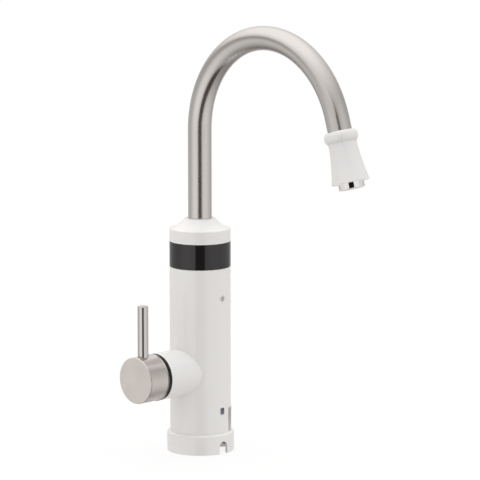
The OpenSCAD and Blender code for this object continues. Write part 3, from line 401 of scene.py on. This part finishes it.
# Painted light: an emission on the inner faces of the bell's mouth
paint_glow_inside(bell_white_painted_light, MOUTH, BELL_PAINTED_GLOW)
give(bell_white_painted_light, "nozzle_bell")
give(moulded("black_window", WINDOW_BLACK, rough=(0.09, 0.12), depth=3e-6, IOR=1.52), "window_ring")
give(moulded("dark_trim", TRIM_BLACK, rough=(0.3, 0.4), Specular_IOR_Level=0.3), "gap_ring")
give(brushed("spout_steel", STEEL, tube_coordinates, tube_way, rough=(0.23, 0.28), anisotropy=0.25,
             depth=1e-6), "spout_tube")
give(brushed("rod_steel", scaled(STEEL, ROD_TONE), upright_coordinates, upright_way, rough=(0.075, 0.10),
             anisotropy=0.3, depth=3e-7), "lever_rod")
cap_steel = brushed("cap_steel", CAP_STEEL, lever_coordinates, lever_way, rough=(0.15, 0.23),
                    anisotropy=0.4, drift=0.09)
tone_cap(cap_steel)
give(cap_steel, "handle_cap")
chrome = cast_metal("bright_chrome", CHROME, rough=(0.02, 0.05), depth=4e-6, drift=0.01)
lined_bore(chrome, MOUTH, NOZZLE_WAY)
give(chrome, "aerator_housing")
give(cast_metal("dull_screw_steel", SCREW_STEEL, rough=(0.3, 0.45)), "service_screw", "grub_screw")

# The inner pieces: a material's kind, name, colour and settings, and what is made of it
INNER = [
    (cast_metal, "inner_steel", (0.62, 0.61, 0.6), {},
     ["base_screws", "inlet_pipe", "earth_screw", "cover_screws", "flow_spring", "feed_pipes", "tank_lid",
      "tank_shell", "tank_screws", "outlet_pipe"]),
    (cast_metal, "element_alloy", (0.3, 0.29, 0.28), {"rough": (0.4, 0.55)}, ["heating_element"]),
    (cast_metal, "turned_brass", (0.72, 0.52, 0.27), {},
     ["inlet_union", "inlet_nut", "valve_body", "cartridge_nut", "cartridge_spindle", "element_terminals",
      "temperature_probe", "spout_socket", "swivel_nut", "spout_bush", "nozzle_adapter"]),
    (moulded, "black_rubber", (0.02, 0.02, 0.02), {"rough": (0.6, 0.75), "grain": 900, "depth": 2e-5},
     ["cable_gland", "port_seal", "flow_diaphragm", "spindle_o_ring", "spout_o_rings", "aerator_washer"]),
    (moulded, "red_silicone", (0.45, 0.07, 0.05), {"rough": (0.5, 0.6)}, ["tank_o_ring"]),
    (moulded, "white_ceramic", (0.78, 0.76, 0.7), {"rough": (0.2, 0.3)},
     ["fixed_ceramic_disc", "moving_ceramic_disc", "element_bushings"]),
    (moulded, "dark_nylon", (0.03, 0.032, 0.035), {"rough": (0.4, 0.5)},
     ["microswitch", "flow_switch_cover", "case_fixing_block", "display_module", "thermal_cutout"]),
    (moulded, "blue_relay", (0.03, 0.09, 0.25), {"rough": (0.3, 0.4)}, ["relay"]),
    (moulded, "green_terminal", (0.04, 0.25, 0.12), {"rough": (0.4, 0.5)}, ["terminal_block"]),
    (moulded, "cartridge_grey", (0.25, 0.3, 0.36), {"rough": (0.35, 0.45)}, ["cartridge_housing"]),
    (moulded, "pale_acetal", (0.72, 0.7, 0.66), {"rough": (0.35, 0.5)},
     ["swivel_washer", "flow_plunger", "aerator_insert", "inlet_strainer"]),
    (moulded, "red_button", (0.5, 0.05, 0.04), {"rough": (0.3, 0.4)}, ["switch_button"]),
    (moulded, "board_green", (0.02, 0.11, 0.05), {"rough": (0.3, 0.45)}, ["control_board", "display_board"]),
]
for make, name, colour, settings, pieces in INNER:
    give(make(name, colour, **settings), *pieces)


# Thin plates on the case

# The width and least number of a plate's strips, how deep it reaches into the case, and where its edge's
# bevel starts and how far that goes in, as shares of its thickness
PLATE_STRIP = 0.0006
PLATE_STRIPS_LEAST = 8
PLATE_SINK = 0.0001
BEVEL_START = 0.7
BEVEL_INSET = 0.6


def curved_plate(name, turn, width, z, height, thick, corner, material, slot):
    """A thin plate that follows the case, its middle turned by an angle from -Y towards +X."""
    built = bmesh.new()
    columns = max(PLATE_STRIPS_LEAST, int(width / PLATE_STRIP))
    section = [(BODY_R - PLATE_SINK, 0.0), (BODY_R + thick * BEVEL_START, 0.0),
               (BODY_R + thick, thick * BEVEL_INSET)]
    rings = []
    for i in range(columns + 1):
        u = width * (i / columns - 0.5)
        side = width / 2 - abs(u)
        cut = corner - math.sqrt(max(0.0, corner ** 2 - (corner - side) ** 2)) if side < corner else 0.0
        a = turn + u / BODY_R
        ring = []
        for r, inset in section:
            for up in (-1, 1):
                h = z + up * (height / 2 - cut - inset)
                ring.append(built.verts.new((r * math.sin(a), -r * math.cos(a), h)))
        rings.append(ring)
    # The section's corners, once round
    order = (0, 2, 4, 5, 3, 1)
    for a, b in zip(rings, rings[1:]):
        for p, q in zip(order, order[1:] + order[:1]):
            built.faces.new((a[p], a[q], b[q], b[p]))
    built.faces.new([rings[0][k] for k in reversed(order)])
    built.faces.new([rings[-1][k] for k in order])
    bmesh.ops.recalc_face_normals(built, faces=built.faces)
    mesh = bpy.data.meshes.new(name)
    built.to_mesh(mesh)
    built.free()
    mesh.materials.append(material)
    piece = bpy.data.objects.new(name, mesh)
    bpy.context.collection.objects.link(piece)
    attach(piece, "column")
    return piece


# The two plates: where they sit on the case, how large they are and how round their corners are
SMALL_PLATE = {"turn": math.radians(2.2), "width": 0.0047, "z": 0.0420, "height": 0.0064, "thick": 0.0004,
               "corner": 0.0007}
LABEL_LEFT = math.radians(22.5)
LABEL_WIDTH = 0.045
LABEL = {"turn": LABEL_LEFT + LABEL_WIDTH / 2 / BODY_R, "width": LABEL_WIDTH, "z": 0.0317, "height": 0.0236,
         "thick": 0.00012, "corner": 0.001}
# Their colours
SLATE = (0.12, 0.127, 0.16)
FOIL = (0.58, 0.58, 0.59)

slate = moulded("slate_plate", SLATE, rough=(0.2, 0.3))
# Painted shade and light: the slate plate darker at its top and lighter towards its foot
paint_shade_down(slate, top=0.0455, gain_top=0.55, foot=0.0385, gain_foot=1.35)
curved_plate("small_plate", **SMALL_PLATE, material=slate, slot="dark_plastic")
foil = cast_metal("foil_label", FOIL, rough=(0.3, 0.4), depth=4e-6, drift=0.03)
# Painted shade and light: the foil label darker at its top and lighter towards its foot
paint_shade_down(foil, top=0.036, gain_top=0.9, foot=0.021, gain_foot=1.3)
curved_plate("bare_label", **LABEL, material=foil, slot="steel")


# Studio: a white room for the camera, and soft panels round the object that metal and gloss reflect

PAPER_WHITE = (1.0, 1.0, 1.0)
# The spans of the lists below, in degrees: from straight down to straight up, and once round
HALF_TURN = 180
FULL_TURN = 360
# Brightness of the walls round the object, against the angle from the camera's way, right positive
WALLS = [(-180, 1.0), (-165, 0.90), (-150, 0.52), (-130, 0.50), (-110, 0.67), (-90, 0.79),
         (-70, 1.02), (-55, 1.13), (-40, 1.12), (-28, 1.04), (-18, 0.96), (18, 0.80),
         (28, 0.88), (40, 0.98), (55, 0.99), (70, 0.94), (90, 0.80), (110, 0.68),
         (130, 0.56), (150, 0.68), (165, 0.95), (180, 1.0)]
# How the walls dim downwards and upwards, in front and at the back, and where the back sets in
WALL_FALL = [(-90, 0.4), (-56, 0.6), (-45, 0.8), (-32, 0.93), (-22, 1.0), (-9, 1.0),
             (3, 0.92), (12, 0.86), (24, 0.80), (36, 0.70), (60, 0.5), (90, 0.5)]
WALL_FALL_BACK = [(-90, 0.30), (-56, 0.33), (-45, 0.44), (-32, 0.54), (-22, 0.90), (-9, 1.0),
                  (3, 0.92), (12, 0.88), (24, 0.84), (36, 0.72), (60, 0.5), (90, 0.5)]
BACK_START = -0.9
BACK_SLOPE = -3.0
# The dark gap behind the camera: its widest half, how much of that it has against height, its soft upper end,
# and its soft sides
GAP_WIDEST = 40 / FULL_TURN
GAP_WIDTH = [(-90, 1.0), (-56, 0.88), (-45, 0.62), (-32, 0.48), (-20, 0.455), (4, 0.44),
             (12, 0.30), (20, 0.22), (30, 0.10), (36, 0), (90, 0)]
GAP_HEIGHT = [(-90, 0.93), (0, 0.93), (11, 0.99), (24, 0.99), (35, 0), (90, 0)]
GAP_EDGE = 4 / FULL_TURN
# A wide soft panel overhead: the way to its middle, and its light against the height towards that middle
PANEL_AZ = math.radians(-120)
PANEL_UP = math.radians(65)
PANEL = [(-90, 0), (-30, 0.0), (-20, 0.06), (-7, 0.28), (2, 0.42), (13, 0.61),
         (24, 0.82), (36, 0.98), (46, 1.12), (54, 1.27), (62, 1.36), (90, 1.38)]
# The shade under the panel's left edge: round about, and up
SHADE = [(-180, 0.2), (-150, 0.5), (-130, 0.75), (-110, 1), (-88, 1), (-70, 0.4),
         (-40, 0.5), (-20, 0), (150, 0), (180, 0.2)]
SHADE_HEIGHT = [(-90, 0), (-12, 0), (-3, 0.22), (2, 0.45), (7, 0.62), (11, 0.55),
                (16, 0.22), (20, 0), (90, 0)]
# The tint of the panels, and of the gap's soft edge
PANEL_TINT = (1.03, 1.0, 0.97)
GAP_TINT = (1.3, 1.0, 0.8)
# The highest level that these lists may hold
LEVEL_TOP = 2.0
# Soft light on what isn't glossy, from below to above, and its gain
PLAIN = [(0.0, (0.80, 0.77, 0.745)), (0.5, (0.765, 0.735, 0.71)), (1.0, (1.35, 1.338, 1.32))]
PLAIN_ALL = 1.295
# How much less of it comes from the camera's side, up to a height, and the share of that loss at the back
PLAIN_FRONT = 0.82
PLAIN_FRONT_TOP = 1.2
PLAIN_BACK = 0.3
# How much less of it comes from the right, and more from the left, and how fast that fades out upwards
PLAIN_LEFT = 0.13
PLAIN_LEFT_FADE = 1.5


def share_of_height(tree, rise):
    """The height angle of a way as a share of the half turn, from straight down."""
    return calc(tree, "ADD", calc(tree, "DIVIDE", calc(tree, "ARCSINE", rise), math.pi), 0.5)


def profile(tree, angle_share, stops, span):
    """A level against an angle in degrees, for an angle that comes as a share of the span."""
    level = ramp(tree, angle_share, [(0.5 + a / span, v / LEVEL_TOP) for a, v in stops])
    return calc(tree, "MULTIPLY", level, LEVEL_TOP)


def panel_light(tree, x, y, z):
    """What metal and gloss reflect from a way: x right of the camera's way, y towards the camera, z up."""
    turn = calc(tree, "ADD", calc(tree, "DIVIDE", calc(tree, "ARCTAN2", x, y), 2 * math.pi), 0.5)
    height = share_of_height(tree, z)
    to_panel = calc(tree, "MULTIPLY", z, math.sin(PANEL_UP))
    to_panel = calc(tree, "ADD", to_panel, calc(tree, "MULTIPLY", y, math.cos(PANEL_UP) * math.cos(PANEL_AZ)))
    to_panel = calc(tree, "ADD", to_panel, calc(tree, "MULTIPLY", x, math.cos(PANEL_UP) * math.sin(PANEL_AZ)))
    back = calc(tree, "MULTIPLY_ADD", y, BACK_SLOPE, BACK_START, clamp=True)
    fall = mix(tree, back, profile(tree, height, WALL_FALL, HALF_TURN),
               profile(tree, height, WALL_FALL_BACK, HALF_TURN))
    walls = calc(tree, "MULTIPLY", profile(tree, turn, WALLS, FULL_TURN), fall)
    half_gap = calc(tree, "MULTIPLY", profile(tree, height, GAP_WIDTH, HALF_TURN), GAP_WIDEST)
    gap = calc(tree, "SUBTRACT", half_gap, calc(tree, "ABSOLUTE", calc(tree, "SUBTRACT", turn, 0.5)))
    gap = calc(tree, "MULTIPLY_ADD", gap, 1 / GAP_EDGE, 0.5, clamp=True)
    gap = calc(tree, "MULTIPLY", gap, profile(tree, height, GAP_HEIGHT, HALF_TURN))
    panel = profile(tree, share_of_height(tree, to_panel), PANEL, HALF_TURN)
    level = calc(tree, "MAXIMUM", walls, panel)
    level = calc(tree, "MULTIPLY", level, calc(tree, "SUBTRACT", 1.0, gap))
    shade = calc(tree, "MULTIPLY", profile(tree, turn, SHADE, FULL_TURN),
                 profile(tree, height, SHADE_HEIGHT, HALF_TURN))
    level = calc(tree, "MULTIPLY", level, calc(tree, "SUBTRACT", 1.0, shade))
    tint = mix(tree, gap, PANEL_TINT, GAP_TINT)
    return vector_calc(tree, "MULTIPLY", join(tree, level, level, level), tint)


def plain_light(tree, x, y, z):
    """The soft light that comes from a way, for what isn't glossy."""
    colour = ramp(tree, calc(tree, "ADD", calc(tree, "MULTIPLY", z, 0.5), 0.5), PLAIN)
    depth = calc(tree, "MAXIMUM", y, calc(tree, "MULTIPLY", y, -PLAIN_BACK))
    front = calc(tree, "MULTIPLY", depth, calc(tree, "SUBTRACT", PLAIN_FRONT_TOP, z, clamp=True))
    fade = calc(tree, "SUBTRACT", 1.0, calc(tree, "MULTIPLY", z, PLAIN_LEFT_FADE))
    side = calc(tree, "MULTIPLY", x, calc(tree, "MAXIMUM", fade, 0.0))
    less = calc(tree, "ADD", calc(tree, "MULTIPLY", front, PLAIN_FRONT),
                calc(tree, "MULTIPLY", side, PLAIN_LEFT))
    gain = calc(tree, "SUBTRACT", PLAIN_ALL, less)
    return vector_calc(tree, "MULTIPLY", colour, join(tree, gain, gain, gain))


def seen_rays(tree):
    """Which rays come from the camera, also through clear things, and the node that knows every kind."""
    rays = tree.nodes.new("ShaderNodeLightPath")
    return calc(tree, "MAXIMUM", rays.outputs["Is Camera Ray"], rays.outputs["Is Transmission Ray"]), rays


def make_world():
    world = bpy.data.worlds.new("studio")
    bpy.context.scene.world = world
    world.use_nodes = True
    world.cycles.sampling_method = "NONE"
    tree = world.node_tree
    tree.nodes.clear()
    way = tree.nodes.new("ShaderNodeTexCoord").outputs["Generated"]
    x = vector_calc(tree, "DOT_PRODUCT", way, (math.cos(CAMERA_AZ), math.sin(CAMERA_AZ), 0.0))
    y = vector_calc(tree, "DOT_PRODUCT", way, (math.sin(CAMERA_AZ), -math.cos(CAMERA_AZ), 0.0))
    _, _, z = split(tree, vector_calc(tree, "NORMALIZE", way))
    seen, rays = seen_rays(tree)
    light = mix(tree, rays.outputs["Is Glossy Ray"], plain_light(tree, x, y, z), panel_light(tree, x, y, z))
    background = tree.nodes.new("ShaderNodeBackground")
    wire(tree, mix(tree, seen, light, PAPER_WHITE), background.inputs["Color"])
    out = tree.nodes.new("ShaderNodeOutputWorld")
    wire(tree, background.outputs[0], out.inputs["Surface"])


# The floor's reach to each side, and how far it lies below the base
FLOOR_REACH = 40
FLOOR_DROP = 0.0002
# What the white floor sends up, beside the base and inside its hollow
FLOOR_LIGHT = (0.86, 0.84, 0.82)
HOLLOW_LIGHT = (0.04, 0.04, 0.04)
HOLLOW_R = 0.0305
# How much of the object's soft shadow the floor shows, and the grey that takes it
FLOOR_SHADOW = 0.1
FLOOR_GREY = (0.8, 0.8, 0.8, 1)
# The floor's shade inside the hollow, and how far from the cable notch it starts and is full
HOLLOW_SHADE = (0.36, 0.345, 0.33)
NOTCH_R = 0.034
SHADE_START = 0.031
SHADE_FULL = 0.037
# The span of the scale on which the distance from the notch is measured
NOTCH_SPAN = 0.1


def floor_glow(tree):
    """What the floor sends out: white towards the camera, and less towards the object."""
    x, y, _ = split(tree, place(tree))
    inside = calc(tree, "LESS_THAN", vector_calc(tree, "LENGTH", join(tree, x, y, 0.0)), HOLLOW_R)
    from_notch = vector_calc(tree, "LENGTH", join(tree, x, calc(tree, "ADD", y, NOTCH_R), 0.0))
    shade = ramp(tree, calc(tree, "MULTIPLY", from_notch, 1 / NOTCH_SPAN),
                 [(SHADE_START / NOTCH_SPAN, PAPER_WHITE), (SHADE_FULL / NOTCH_SPAN, HOLLOW_SHADE)])
    seen, _ = seen_rays(tree)
    glow = tree.nodes.new("ShaderNodeEmission")
    wire(tree, mix(tree, seen, mix(tree, inside, FLOOR_LIGHT, HOLLOW_LIGHT),
                   mix(tree, inside, PAPER_WHITE, shade)), glow.inputs["Color"])
    return glow.outputs[0], seen


def mix_shaders(tree, factor, a, b):
    node = tree.nodes.new("ShaderNodeMixShader")
    for value, socket in zip((factor, a, b), node.inputs):
        wire(tree, value, socket)
    return node.outputs[0]


def make_floor():
    mesh = bpy.data.meshes.new("floor")
    built = bmesh.new()
    bmesh.ops.create_grid(built, x_segments=1, y_segments=1, size=FLOOR_REACH)
    built.to_mesh(mesh)
    built.free()
    floor = bpy.data.objects.new("floor", mesh)
    bpy.context.collection.objects.link(floor)
    floor.location.z = -FLOOR_DROP
    floor.visible_glossy = False
    material = bpy.data.materials.new("floor_white")
    material.use_nodes = True
    tree = material.node_tree
    tree.nodes.clear()
    glow, seen = floor_glow(tree)
    plain = tree.nodes.new("ShaderNodeBsdfDiffuse")
    plain.inputs["Color"].default_value = FLOOR_GREY
    above = mix_shaders(tree, calc(tree, "MULTIPLY", seen, FLOOR_SHADOW), glow, plain.outputs[0])
    from_below = tree.nodes.new("ShaderNodeNewGeometry").outputs["Backfacing"]
    clear = tree.nodes.new("ShaderNodeBsdfTransparent").outputs[0]
    out = tree.nodes.new("ShaderNodeOutputMaterial")
    wire(tree, mix_shaders(tree, from_below, above, clear), out.inputs["Surface"])
    mesh.materials.append(material)


def make_spring():
    """The flow switch's return spring: a copy of its part, which is hidden, with the copy's place baked into
    its mesh.
    """
    spring = bpy.data.objects.new("return_spring", NODES["flow_spring"].data.copy())
    bpy.context.collection.objects.link(spring)
    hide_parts("flow_spring")
    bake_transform(spring)


def make_camera():
    data = bpy.data.cameras.new("camera")
    data.lens = LENS
    data.sensor_width = SENSOR
    data.clip_end = CAMERA_REACH
    camera = bpy.data.objects.new("camera", data)
    bpy.context.collection.objects.link(camera)
    bpy.context.scene.camera = camera
    camera.location = (CAMERA_DISTANCE * math.sin(CAMERA_AZ), -CAMERA_DISTANCE * math.cos(CAMERA_AZ),
                       CAMERA_Z)
    aim = Vector((AIM_SIDE * math.cos(CAMERA_AZ), AIM_SIDE * math.sin(CAMERA_AZ), AIM_Z))
    camera.rotation_mode = "QUATERNION"
    level = (aim - camera.location).to_track_quat("-Z", "Y")
    camera.rotation_quaternion = level @ Quaternion((0, 0, 1), CAMERA_ROLL)


make_spring()
make_world()
make_floor()
make_camera()
bpy.context.scene.view_settings.view_transform = "Standard"
